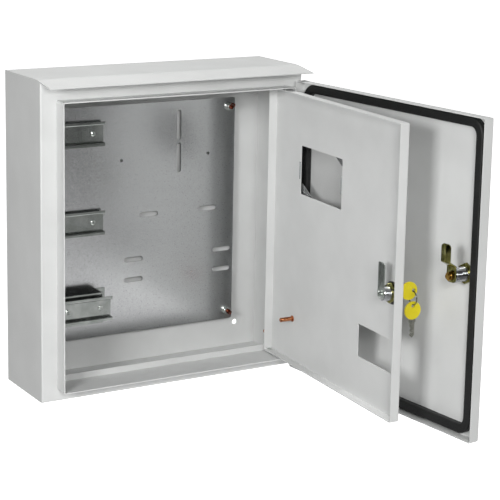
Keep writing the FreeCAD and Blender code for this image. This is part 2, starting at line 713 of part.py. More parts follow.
# Top-hat rails
def dinRail(label, back, level):
    a = railChannel / 2
    h = railWidth / 2
    body = newBody(label)
    section = newSketch(body, "YZ_Plane", -railLength / 2)
    inside = railSheet - railDeep
    outline(section, [(0, -a), (0, a), (inside, a), (inside, h), (-railDeep, h), (-railDeep, a - railSheet),
                      (-railSheet, a - railSheet), (-railSheet, railSheet - a), (-railDeep, railSheet - a),
                      (-railDeep, -h), (inside, -h), (inside, -a)])
    pad(body, section, railLength)
    roundEdges(body, railBend, lambda box: alongX(box)
               and (near(box.YMin, 0) or near(box.YMin, -railDeep) and abs(box.ZMin) < a.value))
    roundEdges(body, railFold, lambda box: alongX(box) and (near(box.YMin, -railSheet) and near(abs(box.ZMin), a - railSheet)
                                                            or near(box.YMin, inside) and near(abs(box.ZMin), a)))
    roundEdges(body, railRim, lambda box: alongX(box) and near(abs(box.ZMin), h))
    drilled = newSketch(body, "XZ_Plane", railSheet)
    for sx in (-1, 1):
        disc(drilled, rivetSpan / 2 * sx, zero, rivetWidth)
    pocket(body, drilled, railSheet)
    putAt(body, railMiddle, back, level)
    return keep(body)


bracketFace = plateFront - bracketStand
railBacks = (plateFront, plateFront, bracketFace)
for label, back, level in zip(("upper_din_rail", "middle_din_rail", "lower_din_rail"), railBacks, railLevels):
    dinRail(label, back, level)

# Hat-section bracket under the lower rail
bracket = newBody("rail_bracket")
b = bracketWidth / 2
f = b + bracketFoot
hat = newSketch(bracket, "XY_Plane", -bracketHeight / 2)
outline(hat, [(-f, 0), (-f, -bracketSheet), (-b, -bracketSheet), (-b, -bracketStand), (b, -bracketStand),
              (b, -bracketSheet), (f, -bracketSheet), (f, 0), (b - bracketSheet, 0),
              (b - bracketSheet, bracketSheet - bracketStand), (bracketSheet - b, bracketSheet - bracketStand),
              (bracketSheet - b, 0)])
pad(bracket, hat, bracketHeight)
roundEdges(bracket, bracketBend, lambda box: alongZ(box) and near(box.YMin, -bracketStand))
webHoles = newSketch(bracket, "XZ_Plane", bracketStand)
for sx in (-1, 1):
    disc(webHoles, rivetSpan / 2 * sx, zero, rivetWidth)
pocket(bracket, webHoles, bracketSheet)
putAt(bracket, railMiddle, plateFront, -lowerRailDrop)
keep(bracket)

# Hollow rivets through rail and sheet
rivets = []
for back, level, under in zip(railBacks, railLevels, (plateSheet, plateSheet, bracketSheet)):
    for sx in (-1, 1):
        r = rivetWidth / 2
        bore = rivetHollow / 2
        end = railSheet + under + rivetTail
        rivet = turnedY("rail_rivet", [(bore, end), (r, end), (r, 0), (rivetHead / 2, 0),
                                       (rivetHead / 2, -rivetHeadThick / 2),
                                       (r, -rivetHeadThick), (bore, -rivetHeadThick)])
        putAt(rivet, railMiddle + rivetSpan / 2 * sx, back - railSheet, level)
        rivets.append(rivet)
group("rail_rivets", rivets)

# Earth stud on the right wall
bodyEarth = newBody("body_earth_stud")
profile = newSketch(bodyEarth, "XY_Plane")
outline(profile, [(0, 0), (0, earthFlange / 2), (-1, earthFlange / 2), (-1, earthWidth / 2),
                  (0.8 - earthLong, earthWidth / 2), (-earthLong, earthWidth / 2 - 0.8), (-earthLong, 0)])
revolve(bodyEarth, profile, "H_Axis")
putAt(bodyEarth, half - bodySheet, front + bodyEarthBack, low + bodyEarthRise)
keep(bodyEarth)

# Outer hinges: a lug on the border, a forked bracket on the door, and a headed pin
lugs = []
forks = []
pins = []
forkHeight = lugHeight + 2 * eyeGap + 2 * eyeThick
skinIn = doorSheet - outerFace
for level in hingeLevels:
    lug = newBody("outer_hinge_lug")
    foot = newSketch(lug, "XY_Plane", -lugHeight / 2)
    rectangle(foot, -lugRound, lugRound, zero, outerHingeAhead)
    pad(lug, foot, lugHeight)
    nose = newSketch(lug, "XY_Plane", -lugHeight / 2)
    disc(nose, zero, zero, 2 * lugRound)
    pad(lug, nose, lugHeight)
    bore = newSketch(lug, "XY_Plane", lugHeight / 2)
    disc(bore, zero, zero, hingePin + 2 * hingePlay)
    pocket(lug, bore, lugHeight)
    putAt(lug, outerFrame.x, outerFrame.y, level)
    lugs.append(lug)

    fork = newBody("outer_hinge_bracket")
    foot = newSketch(fork, "XY_Plane", -forkHeight / 2)
    rectangle(foot, -lugRound, lugRound, skinIn, zero)
    pad(fork, foot, forkHeight)
    nose = newSketch(fork, "XY_Plane", -forkHeight / 2)
    disc(nose, zero, zero, 2 * lugRound)
    pad(fork, nose, forkHeight)
    gap = newSketch(fork, "YZ_Plane", lugRound)
    rectangle(gap, skinIn + eyeThick, lugRound + 1, -lugHeight / 2 - eyeGap, lugHeight / 2 + eyeGap)
    pocket(fork, gap, 2 * lugRound)
    bore = newSketch(fork, "XY_Plane", forkHeight / 2)
    disc(bore, zero, zero, hingePin)
    pocket(fork, bore, forkHeight)
    outerFrame.put(fork, zero, zero, level)
    forks.append(fork)

    hingePinBody = turnedZ("outer_hinge_pin", [
        (0, -forkHeight / 2), (hingePin / 2, -forkHeight / 2), (hingePin / 2, forkHeight / 2),
        (pinHead / 2, forkHeight / 2), (pinHead / 2, forkHeight / 2 + pinHeadThick / 2),
        (hingePin / 2, forkHeight / 2 + pinHeadThick), (0, forkHeight / 2 + pinHeadThick)])
    outerFrame.put(hingePinBody, zero, zero, level)
    pins.append(hingePinBody)
group("outer_hinge_lugs", lugs)
group("outer_hinge_brackets", forks)
group("outer_hinge_pins", pins)

# Weather door: a folded tray, notched at its hinges
outerDoor = newBody("outer_door_panel")
tray = newSketch(outerDoor, "XZ_Plane", outerFace - outerFlange)
roundedRectangle(tray, outerFree, outerEdge, outerLow, outerHigh, doorCorner)
pad(outerDoor, tray, outerFlange)
roundEdges(outerDoor, doorBend, lambda box: near(box.YMin, -outerFace) and near(box.YMax, -outerFace))
inside = newSketch(outerDoor, "XZ_Plane", -skinIn)
roundedRectangle(inside, outerFree + doorSheet, outerEdge - doorSheet, outerLow + doorSheet,
                 outerHigh - doorSheet, doorCorner - doorSheet)
pocket(outerDoor, inside, outerFlange - doorSheet)
for level in hingeLevels:
    notch = newSketch(outerDoor, "YZ_Plane", outerEdge)
    rectangle(notch, notchStart - outerFace, outerFlange - outerFace,
              level - lugHeight / 2 - notchGap, level + lugHeight / 2 + notchGap)
    pocket(outerDoor, notch, doorSheet)
lockHole = newSketch(outerDoor, "XZ_Plane", outerFace)
disc(lockHole, outerLockX, outerLockZ, barrelWidth)
pocket(outerDoor, lockHole, doorSheet)
outerFrame.put(outerDoor)
keep(outerDoor)

# Foamed gasket ring with a rounded face
gasket = newBody("door_gasket")
bead = newSketch(gasket, "XZ_Plane", -skinIn)
roundedRectangle(bead, outerFree + gasketSide, outerEdge - gasketSide, outerLow + gasketFoot,
                 outerHigh - gasketHead, gasketRound)
roundedRectangle(bead, outerFree + gasketSide + gasketBand, outerEdge - gasketSide - gasketBand,
                 outerLow + gasketFoot + gasketBand, outerHigh - gasketHead - gasketBand,
                 gasketRound - gasketBand)
pad(gasket, bead, gasketThick, True)
roundEdges(gasket, gasketSoft, lambda box: near(box.YMin, skinIn + gasketThick)
           and near(box.YMax, skinIn + gasketThick))
outerFrame.put(gasket)
keep(gasket)


# Quarter-turn locks
def lockBarrel(label, length, door, x, face, z):
    r = barrelWidth / 2
    c = collarWidth / 2
    inner = plugWidth / 2 + plugPlay
    body = turnedY(label, [(inner, -collarThick), (c - 1, -collarThick), (c, 1 - collarThick), (c, 0), (r, 0),
                           (r, length - 0.6), (r - 0.6, length), (inner, length)])
    door.put(body, x, face, z)
    return keep(body)


def lockNut(label, start, door, x, face, z):
    body = hexNut(label, lockNutFlats, lockNutHeight, barrelWidth, 1)
    door.put(body, x, face + start, z)
    return keep(body)


def lockPlug(label, length, tail, door, x, face, z, keyed):
    r = plugWidth / 2
    body = turnedY(label, [(0, -collarThick), (r, -collarThick), (r, length), (tailWidth / 2, length),
                           (tailWidth / 2, tail - 0.6), (tailWidth / 2 - 0.6, tail), (0, tail)])
    keyway = newSketch(body, "XZ_Plane", collarThick)
    rectangle(keyway, -bladeThick / 2, bladeThick / 2, -bladeWidth / 2, bladeWidth / 2)
    pocket(body, keyway, keyed)
    door.put(body, x, face, z)
    return keep(body)


outerSkin = -outerFace
lockBarrel("outer_lock_barrel", outerBarrel, outerFrame, outerLockX, outerSkin, outerLockZ)
lockNut("outer_lock_nut", doorSheet, outerFrame, outerLockX, outerSkin, outerLockZ)
keyDepth = bladeLong + keyHead / 2 - keyStand + collarThick
outerCamAt = outerBarrel + camGap
outerTail = outerCamAt + camSheet + camNutHeight + camNutTail
lockPlug("outer_lock_plug", outerCamAt, outerTail, outerFrame, outerLockX, outerSkin, outerLockZ, keyDepth)

# Cranked cam of the weather door, a bent strip with rounded ends
crankRun = camKneeHigh - camKneeLow
mitre = (rootOf(camCrank * camCrank + crankRun * crankRun) - crankRun) / camCrank * camSheet
outerCam = newBody("outer_lock_cam")
strip = newSketch(outerCam, "YZ_Plane", -outerCamWidth / 2)
outline(strip, [(0, -outerCamWidth / 2), (camSheet, -outerCamWidth / 2), (camSheet, camKneeLow - mitre),
                (camCrank + camSheet, camKneeHigh - mitre), (camCrank + camSheet, outerCamTip),
                (camCrank, outerCamTip), (camCrank, camKneeHigh), (0, camKneeLow)])
pad(outerCam, strip, outerCamWidth)
roundEdges(outerCam, outerCamWidth * 0.3, lambda box: box.YLength > 1 and box.XLength < 0.01 and box.ZLength < 0.01
           and (near(box.ZMin, -outerCamWidth / 2) or near(box.ZMin, outerCamTip)))
camBore = newSketch(outerCam, "XZ_Plane")
disc(camBore, zero, zero, tailWidth)
pocket(outerCam, camBore, camSheet)
outerFrame.put(outerCam, outerLockX, outerSkin + outerCamAt, outerLockZ)
keep(outerCam)
camNut = hexNut("outer_cam_nut", camNutFlats, camNutHeight, tailWidth, 1)
outerFrame.put(camNut, outerLockX, outerSkin + outerCamAt + camSheet, outerLockZ)
keep(camNut)

# Inner door: a folded tray with window, breaker cut-out and pin hinges
innerSkin = -innerFace
innerDoor = newBody("inner_door_panel")
tray = newSketch(innerDoor, "XZ_Plane", innerFace - innerFlange)
roundedRectangle(tray, innerFree, innerEdge, innerLow, innerHigh, doorCorner)
pad(innerDoor, tray, innerFlange)
roundEdges(innerDoor, doorBend, lambda box: near(box.YMin, -innerFace) and near(box.YMax, -innerFace))
inside = newSketch(innerDoor, "XZ_Plane", innerFace - doorSheet)
roundedRectangle(inside, innerFree + doorSheet, innerEdge - doorSheet, innerLow + doorSheet,
                 innerHigh - doorSheet, doorCorner - doorSheet)
pocket(innerDoor, inside, innerFlange - doorSheet)
cuts = newSketch(innerDoor, "XZ_Plane", innerFace)
windowRight = innerEdge - windowStart
windowLeft = windowRight - windowWidth
roundedRectangle(cuts, windowLeft, windowRight, low + windowRise, low + windowRise + windowHeight, windowCorner)
cutRight = innerEdge - cutStart
roundedRectangle(cuts, cutRight - cutWidth, cutRight, low + cutRise, low + cutRise + cutHeight, cutCorner)
disc(cuts, innerLockX, innerLockZ, barrelWidth)
slitLow = low + windowRise + clipRise - clipHeight / 2 - clipPlay
slitHigh = low + windowRise + clipRise + clipHeight / 2 + clipPlay
rectangle(cuts, windowRight + clipOut - clipPlay, windowRight + clipOut + clipThick + clipPlay, slitLow, slitHigh)
pocket(innerDoor, cuts, doorSheet)
for level in (innerLow + doorSheet, innerHigh):
    pinHole = newSketch(innerDoor, "XY_Plane", level)
    disc(pinHole, zero, zero, innerPin)
    pocket(innerDoor, pinHole, doorSheet)
innerFrame.put(innerDoor)
keep(innerDoor)

# Clear pane on the front of the inner door, held by two clips and two corner plates
windowLow = low + windowRise
windowHigh = windowLow + windowHeight
clipLow = windowLow + clipRise - clipHeight / 2
clipHigh = windowLow + clipRise + clipHeight / 2
pane = newBody("window_pane")
paneLine = newSketch(pane, "XZ_Plane", innerFace)
roundedRectangle(paneLine, windowLeft - paneLap, windowRight + paneLap, windowLow - paneLap,
                 windowHigh + paneLap, windowCorner)
pad(pane, paneLine, paneThick)
clips = newSketch(pane, "XZ_Plane", innerFace)
rectangle(clips, windowRight + clipOut, windowRight + clipOut + clipThick, clipLow, clipHigh)
rectangle(clips, windowLeft + clipPlay, windowLeft + clipPlay + clipThick, clipLow, clipHigh)
pad(pane, clips, doorSheet + clipProud, True)
innerFrame.put(pane)
keep(pane)

corners = newBody("window_corner_plates")
plates = newSketch(corners, "XZ_Plane", innerFace + paneThick)
cornerFar = paneLap - cornerIn
outline(plates, [(windowLeft - cornerFar, windowHigh + cornerFar),
                 (windowLeft + cornerLong, windowHigh + cornerFar), (windowLeft + cornerLong, windowHigh),
                 (windowLeft, windowHigh - cornerHigh), (windowLeft - cornerFar, windowHigh - cornerHigh)])
outline(plates, [(windowRight + cornerFar, windowLow - cornerFar),
                 (windowRight - cornerLong, windowLow - cornerFar), (windowRight - cornerLong, windowLow),
                 (windowRight, windowLow + cornerHigh), (windowRight + cornerFar, windowLow + cornerHigh)])
pad(corners, plates, cornerSheet)
innerFrame.put(corners)
keep(corners)

# Inner hinge pins, headed inside the tray
innerPins = []
for level, sign in ((innerLow + doorSheet, 1), (innerHigh - doorSheet, -1)):
    tail = (doorSheet + innerGap + lipSheet + innerPinTail) * (-sign)
    head = innerPinHeadThick * sign
    r = innerPin / 2
    lift = innerPinLift * sign
    innerPinBody = turnedZ("inner_hinge_pin", [
        (0, tail), (r - 0.6, tail), (r, tail + 0.6 * sign), (r, lift), (innerPinHead / 2, lift),
        (innerPinHead / 2, head * 0.6), (r, head), (0, head)])
    innerFrame.put(innerPinBody, zero, zero, level)
    innerPins.append(innerPinBody)
group("inner_hinge_pins", innerPins)

doorEarth = turnedY("inner_door_earth_stud", [
    (0, 0), (earthFlange / 2, 0), (earthFlange / 2, 1), (earthWidth / 2, 1),
    (earthWidth / 2, earthLong - 0.8), (earthWidth / 2 - 0.8, earthLong), (0, earthLong)])
innerFrame.put(doorEarth, innerEdge - doorEarthIn, innerSkin + doorSheet, low + doorEarthRise)
keep(doorEarth)

lockBarrel("inner_lock_barrel", innerBarrel, innerFrame, innerLockX, innerSkin, innerLockZ)
lockWasher = turnedY("inner_lock_washer", [(barrelWidth / 2, 0), (lockWasherWidth / 2, 0),
                                           (lockWasherWidth / 2, lockWasherThick), (barrelWidth / 2, lockWasherThick)])
innerFrame.put(lockWasher, innerLockX, innerSkin + doorSheet, innerLockZ)
keep(lockWasher)
lockNut("inner_lock_nut", doorSheet + lockWasherThick, innerFrame, innerLockX, innerSkin, innerLockZ)
innerCamAt = innerBarrel + camGap
lockPlug("inner_lock_plug", innerCamAt, innerCamAt + camSheet, innerFrame, innerLockX, innerSkin, innerLockZ, keyDepth)

# Straight cam of the inner door and its screw
innerCam = newBody("inner_lock_cam")
camLine = newSketch(innerCam, "XZ_Plane")
rectangle(camLine, -innerCamWidth / 2, innerCamWidth / 2, zero, innerCamTip)
pad(innerCam, camLine, camSheet, True)
roundEdges(innerCam, camTipRound, lambda box: box.YLength > 1 and near(box.ZMin, innerCamTip) and box.XLength < 0.01)
camFoot = newSketch(innerCam, "XZ_Plane")
disc(camFoot, zero, zero, innerCamWidth)
pad(innerCam, camFoot, camSheet, True)
camEye = newSketch(innerCam, "XZ_Plane")
disc(camEye, zero, zero, tailWidth)
pocket(innerCam, camEye, camSheet)
innerFrame.put(innerCam, innerLockX, innerSkin + innerCamAt, innerLockZ)
keep(innerCam)
headRound = camScrewHead / 2
camScrew = turnedY("inner_cam_screw", [(0, 0), (headRound, 0), (headRound, camScrewThick * 0.5),
                                       (headRound * 0.6, camScrewThick), (0, camScrewThick)])
for wide, high in ((recessLong, recessWide), (recessWide, recessLong)):
    recess = newSketch(camScrew, "XZ_Plane", -camScrewThick)
    rectangle(recess, -wide / 2, wide / 2, -high / 2, high / 2)
    pocket(camScrew, recess, recessDeep, True)
innerFrame.put(camScrew, innerLockX, innerSkin + innerCamAt + camSheet, innerLockZ)
keep(camScrew)


# Flat keys: blade with cut edge, round head with an eye; drawn with the blade along +Y
def keyBlade(label):
    body = newBody(label)
    w = bladeWidth / 2
    start = keyHead / 2 - bladeRoot
    end = keyHead / 2 + bladeLong
    cut = w - bladeTooth
    step = bladeLong / 8
    line = newSketch(body, "YZ_Plane", -bladeThick / 2)
    rim = keyHead / 2
    wide = shoulderWidth / 2
    neck = rim + shoulderLong
    outline(line, [(start, -w), (rim, -w), (rim, -wide), (neck, -wide), (neck, -w), (end - w, -w), (end, 0),
                   (end - w * 0.6, cut), (end - step, w), (end - step * 2, cut), (end - step * 3, w),
                   (end - step * 4, cut), (end - step * 5, w), (neck, w), (neck, wide), (rim, wide), (rim, w),
                   (start, w)])
    pad(body, line, bladeThick)
    return body


def keyBow(label):
    body = newBody(label)
    round = newSketch(body, "YZ_Plane", -keyHeadThick / 2)
    disc(round, zero, zero, keyHead)
    pad(body, round, keyHeadThick)
    roundEdges(body, keyHeadRound, lambda box: near(box.XLength, 0))
    eye = newSketch(body, "YZ_Plane", keyHeadThick / 2)
    disc(eye, -keyEyeOut, zero, keyEye)
    pocket(body, eye, keyHeadThick)
    root = newSketch(body, "YZ_Plane", bladeThick / 2)
    rectangle(root, keyHead / 2 - bladeRoot, keyHead / 2 + 1, -bladeWidth / 2, bladeWidth / 2)
    pocket(body, root, bladeThick)
    return body


keyY = innerSkin - keyStand
for body in (keyBlade("key_blade"), keyBow("key_head")):
    innerFrame.put(body, innerLockX, keyY, innerLockZ)
    keep(body)

# Key ring through the eye, and the spare key hanging from it
hangDrop = keyEye / 2 - ringWire / 2 - ringPlay
ringY = keyY - keyEyeOut
ringTop = innerLockZ - hangDrop
ringZ = ringTop - ringRadius
keyRing = newBody("key_ring")
wire = newSketch(keyRing, "XY_Plane")
disc(wire, ringRadius, zero, ringWire)
revolve(keyRing, wire, "V_Axis")
innerFrame.put(keyRing, innerLockX, ringY, ringZ)
keep(keyRing)


# The spare key hangs with its blade down: its own Y points to -Z, and its own X lies along the door
def hang(thing, x, y, z):
    c = cosOf(innerTurn)
    s = sinOf(innerTurn)
    px = innerFrame.x + x * c - y * s
    py = innerFrame.y + x * s + y * c
    words = "create(<<placement>>; create(<<vector>>; %s; %s; %s); " % (px.text, py.text, z.text)
    words += "create(<<rotation>>; %s; 0; -90))" % innerTurn.text
    thing.setExpression("Placement", words)


spareZ = ringZ - ringRadius - hangDrop - keyEyeOut
for body in (keyBlade("spare_key_blade"), keyBow("spare_key_head")):
    hang(body, innerLockX, ringY, spareZ)
    keep(body)

doc.recompute()

for thing in doc.Objects:
    if "Invalid" in thing.State or "Error" in thing.State:
        raise RuntimeError("bad object " + thing.Label)
os.makedirs("parts", exist_ok=True)
for thing in nodes:
    if thing.Shape.isNull() or not thing.Shape.isValid() or not thing.Shape.Solids:
        raise RuntimeError("bad shape " + thing.Label)
    thing.Shape.exportStep("parts/%s.step" % thing.Label)
print(len(nodes), "nodes written")
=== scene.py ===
import json
import math

import bmesh
import bpy
from mathutils import Matrix, Vector


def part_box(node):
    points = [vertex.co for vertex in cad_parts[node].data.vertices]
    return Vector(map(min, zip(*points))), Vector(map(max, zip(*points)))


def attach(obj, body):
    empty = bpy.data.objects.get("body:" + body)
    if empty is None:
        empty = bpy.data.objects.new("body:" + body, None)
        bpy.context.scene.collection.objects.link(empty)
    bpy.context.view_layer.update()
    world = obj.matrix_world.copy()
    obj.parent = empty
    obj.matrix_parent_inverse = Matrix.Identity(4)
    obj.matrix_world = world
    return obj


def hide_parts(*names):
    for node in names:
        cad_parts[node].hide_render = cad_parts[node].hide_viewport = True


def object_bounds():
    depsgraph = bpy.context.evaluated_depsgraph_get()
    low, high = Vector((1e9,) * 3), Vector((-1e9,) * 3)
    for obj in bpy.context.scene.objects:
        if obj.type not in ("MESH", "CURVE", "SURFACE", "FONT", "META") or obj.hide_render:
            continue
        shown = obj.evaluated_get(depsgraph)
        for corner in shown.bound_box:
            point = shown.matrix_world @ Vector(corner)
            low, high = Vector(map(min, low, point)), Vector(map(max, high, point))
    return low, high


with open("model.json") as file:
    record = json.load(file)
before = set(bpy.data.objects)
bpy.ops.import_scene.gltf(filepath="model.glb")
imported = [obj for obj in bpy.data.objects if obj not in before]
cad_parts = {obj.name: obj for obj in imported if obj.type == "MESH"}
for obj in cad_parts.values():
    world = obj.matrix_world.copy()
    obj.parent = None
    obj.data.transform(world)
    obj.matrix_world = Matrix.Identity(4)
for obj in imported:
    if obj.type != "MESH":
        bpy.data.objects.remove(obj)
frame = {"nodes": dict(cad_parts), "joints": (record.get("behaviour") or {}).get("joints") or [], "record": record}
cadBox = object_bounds()
nodes = frame["nodes"]
joints = {joint["name"]: joint for joint in frame["joints"]}
print("stage: frame loaded,", len(nodes), "pieces from the model")

mm = 0.001


def linear(hexColour):
    channels = []
    for start in (0, 2, 4):
        value = int(hexColour[start:start + 2], 16) / 255
        channels.append(value / 12.92 if value <= 0.04045 else ((value + 0.055) / 1.055) ** 2.4)
    return (*channels, 1.0)


def addNode(tree, kind, values=None, links=None, **settings):
    node = tree.nodes.new(kind)
    for name, value in settings.items():
        setattr(node, name, value)
    for socket, value in (values or {}).items():
        node.inputs[socket].default_value = value
    for socket, source in (links or {}).items():
        tree.links.new(source, node.inputs[socket])
    return node


def newMaterial(name):
    material = bpy.data.materials.new(name)
    material.use_nodes = True
    tree = material.node_tree
    tree.nodes.clear()
    shader = addNode(tree, "ShaderNodeBsdfPrincipled")
    addNode(tree, "ShaderNodeOutputMaterial", links={"Surface": shader.outputs["BSDF"]})
    place = addNode(tree, "ShaderNodeTexCoord").outputs["Object"]
    return material, tree, shader, place


def rampStops(ramp, stops):
    colours = ramp.color_ramp
    while len(colours.elements) < len(stops):
        colours.elements.new(0.5)
    for element, (position, colour) in zip(colours.elements, stops):
        element.position = position
        element.color = colour


# Polyester powder coat on steel sheet: matt satin, with the soft ripple of orange peel
powderCoatLook = {
    "light": "cbcccb",
    "dark": "c6c7c6",
    "roughness": (0.37, 0.48),
    "peelMm": 1.6,        # width of one ripple
    "peelDepth": 0.09,
    "peelRiseMm": 0.2,
    "cloudMm": 60,        # slow change of shade over a panel
    "refraction": 1.5,
}


def makePowderCoat(look):
    material, tree, shader, place = newMaterial("powder_coated_steel")
    cloud = addNode(tree, "ShaderNodeTexNoise", {"Scale": 1 / (look["cloudMm"] * mm), "Detail": 3.0},
                    {"Vector": place})
    shade = addNode(tree, "ShaderNodeValToRGB", links={"Fac": cloud.outputs["Fac"]})
    rampStops(shade, [(0.35, linear(look["dark"])), (0.65, linear(look["light"]))])
    peel = addNode(tree, "ShaderNodeTexNoise",
                   {"Scale": 1 / (look["peelMm"] * mm), "Detail": 2.0, "Roughness": 0.45}, {"Vector": place})
    smoothest, roughest = look["roughness"]
    gloss = addNode(tree, "ShaderNodeMapRange",
                    {"From Min": 0.3, "From Max": 0.7, "To Min": smoothest, "To Max": roughest},
                    {"Value": peel.outputs["Fac"]})
    bump = addNode(tree, "ShaderNodeBump",
                   {"Strength": look["peelDepth"], "Distance": look["peelRiseMm"] * mm},
                   {"Height": peel.outputs["Fac"]})
    tree.links.new(shade.outputs["Color"], shader.inputs["Base Color"])
    tree.links.new(gloss.outputs["Result"], shader.inputs["Roughness"])
    tree.links.new(bump.outputs["Normal"], shader.inputs["Normal"])
    shader.inputs["IOR"].default_value = look["refraction"]
    return material


# Hot-dip galvanised sheet with a fine spangle: cloudy grey metal with small dark pits
galvanisedLook = {
    "light": "d5d6d7",
    "dark": "c9cacb",
    "pit": "6a6b6c",
    "roughness": (0.18, 0.29),
    "spangleMm": 1.1,
    "cloudMm": 16,
    "pitMm": 8,           # one pit to the next
    "pitCoreMm": 0.24,    # darkest out to here
    "pitRimMm": 0.68,     # and gone by here
    "pitShare": 0.7,      # how much of the pit's own colour shows
    "rollMm": 2.5,        # faint lines left by the rolls
    "rollStretch": 0.02,
    "rollShare": 0.4,     # of the lines against the clouds
    "smoothShare": 0.5,   # of lines and clouds against the spangle
    "relief": 0.05,
    "reliefMm": 0.1,
}


def makeGalvanised(look):
    material, tree, shader, place = newMaterial("galvanised_sheet_fine_spangle")
    spangle = addNode(tree, "ShaderNodeTexVoronoi", {"Scale": 1 / (look["spangleMm"] * mm)},
                      {"Vector": place}, feature="F1")
    grain = addNode(tree, "ShaderNodeSeparateColor", links={"Color": spangle.outputs["Color"]})
    cloud = addNode(tree, "ShaderNodeTexNoise",
                    {"Scale": 1 / (look["cloudMm"] * mm), "Detail": 6.0, "Roughness": 0.65},
                    {"Vector": place})
    stretch = look["rollStretch"]
    rolled = addNode(tree, "ShaderNodeMapping", {"Scale": (stretch, stretch, 1.0)}, {"Vector": place})
    roll = addNode(tree, "ShaderNodeTexNoise", {"Scale": 1 / (look["rollMm"] * mm), "Detail": 2.0},
                   {"Vector": rolled.outputs["Vector"]})
    smooth = addNode(tree, "ShaderNodeMix", {"Factor": look["rollShare"]},
                     {"A": cloud.outputs["Fac"], "B": roll.outputs["Fac"]})
    mixed = addNode(tree, "ShaderNodeMix", {"Factor": look["smoothShare"]},
                    {"A": grain.outputs["Red"], "B": smooth.outputs["Result"]})
    shade = addNode(tree, "ShaderNodeValToRGB", links={"Fac": mixed.outputs["Result"]})
    rampStops(shade, [(0.2, linear(look["dark"])), (0.75, linear(look["light"]))])
    # the plate faces along Y, so its pits are laid out over X and Z
    faced = addNode(tree, "ShaderNodeMapping", {"Rotation": (math.pi / 2, 0.0, 0.0)}, {"Vector": place})
    pits = addNode(tree, "ShaderNodeTexVoronoi", {"Scale": 1 / (look["pitMm"] * mm)},
                   {"Vector": faced.outputs["Vector"]}, feature="F1", voronoi_dimensions="2D")
    pitMask = addNode(tree, "ShaderNodeMapRange",
                      {"From Min": look["pitCoreMm"] / look["pitMm"],
                       "From Max": look["pitRimMm"] / look["pitMm"],
                       "To Min": look["pitShare"], "To Max": 0.0},
                      {"Value": pits.outputs["Distance"]})
    colour = addNode(tree, "ShaderNodeMix", {7: linear(look["pit"])},
                     {0: pitMask.outputs["Result"], 6: shade.outputs["Color"]}, data_type="RGBA")
    smoothest, roughest = look["roughness"]
    gloss = addNode(tree, "ShaderNodeMapRange", {"To Min": smoothest, "To Max": roughest},
                    {"Value": mixed.outputs["Result"]})
    bump = addNode(tree, "ShaderNodeBump", {"Strength": look["relief"], "Distance": look["reliefMm"] * mm},
                   {"Height": mixed.outputs["Result"]})
    tree.links.new(colour.outputs[2], shader.inputs["Base Color"])
    tree.links.new(gloss.outputs["Result"], shader.inputs["Roughness"])
    tree.links.new(bump.outputs["Normal"], shader.inputs["Normal"])
    shader.inputs["Metallic"].default_value = 1.0
    return material


# Plated and bare metals share one recipe: a tone that drifts, a fine grain and a slow wave in the surface
metalLooks = {
    "zinc_plated_steel": {
        "name": "bright_zinc_plate", "light": "d6d9d6", "dark": "b0b5b0", "tint": "c2c8c3",
        "roughness": 0.24, "cloudMm": 12, "grainMm": 0.7, "wave": 0.15},
    # rolled zinc-plated strip for the rails and bracket: its darker tone is partly the strip's duller plate and
    # partly painted shade
    "din_rail_strip_painted_shade": {
        "name": "rolled_zinc_strip_with_painted_shade", "light": "b0b3b0", "dark": "939793", "tint": "a1a5a2",
        "roughness": 0.2, "cloudMm": 20, "grainMm": 0.8, "wave": 0.06},
    "coppered_steel": {
        "name": "copper_flashed_steel", "light": "cf8f66", "dark": "8f4e30", "tint": "b0714d",
        "roughness": 0.24, "cloudMm": 6, "grainMm": 0.5, "wave": 0.2},
    "tarnished_copper": {
        "name": "tarnished_copper_flash", "light": "8c4a34", "dark": "4a2119", "tint": "6a3325",
        "roughness": 0.3, "cloudMm": 4, "grainMm": 0.5, "wave": 0.2},
    "chromed_zinc": {
        "name": "chromed_zinc_casting", "light": "d8d9db", "dark": "b9bbbe", "tint": "c8cacd",
        "roughness": 0.14, "cloudMm": 10, "grainMm": 0.6, "wave": 0.15},
    "yellow_passivated_steel": {
        "name": "yellow_passivated_zinc", "light": "a9a676", "dark": "57552f", "tint": "7d7a45",
        "roughness": 0.15, "cloudMm": 9, "grainMm": 0.6, "wave": 0.5},
    "brass": {
        "name": "turned_brass", "light": "c3a258", "dark": "7a5a28", "tint": "a07e3f",
        "roughness": 0.2, "cloudMm": 7, "grainMm": 0.4, "wave": 0.3},
    "nickel_blade": {
        "name": "nickel_plated_brass", "light": "c6c6bd", "dark": "9d9d94", "tint": "b2b2a8",
        "roughness": 0.24, "cloudMm": 8, "grainMm": 0.5, "wave": 0.25},
    "key_ring_wire": {
        "name": "nickelled_spring_wire", "light": "94958f", "dark": "5d5e5a", "tint": "777872",
        "roughness": 0.2, "cloudMm": 5, "grainMm": 0.4, "wave": 0.1},
}
metalSkin = {
    "smoothest": 0.75, "roughest": 1.35,     # shares of a metal's roughness, over its grain
    "grain": 0.06, "grainRiseMm": 0.05, "waveRiseMm": 0.5,
}


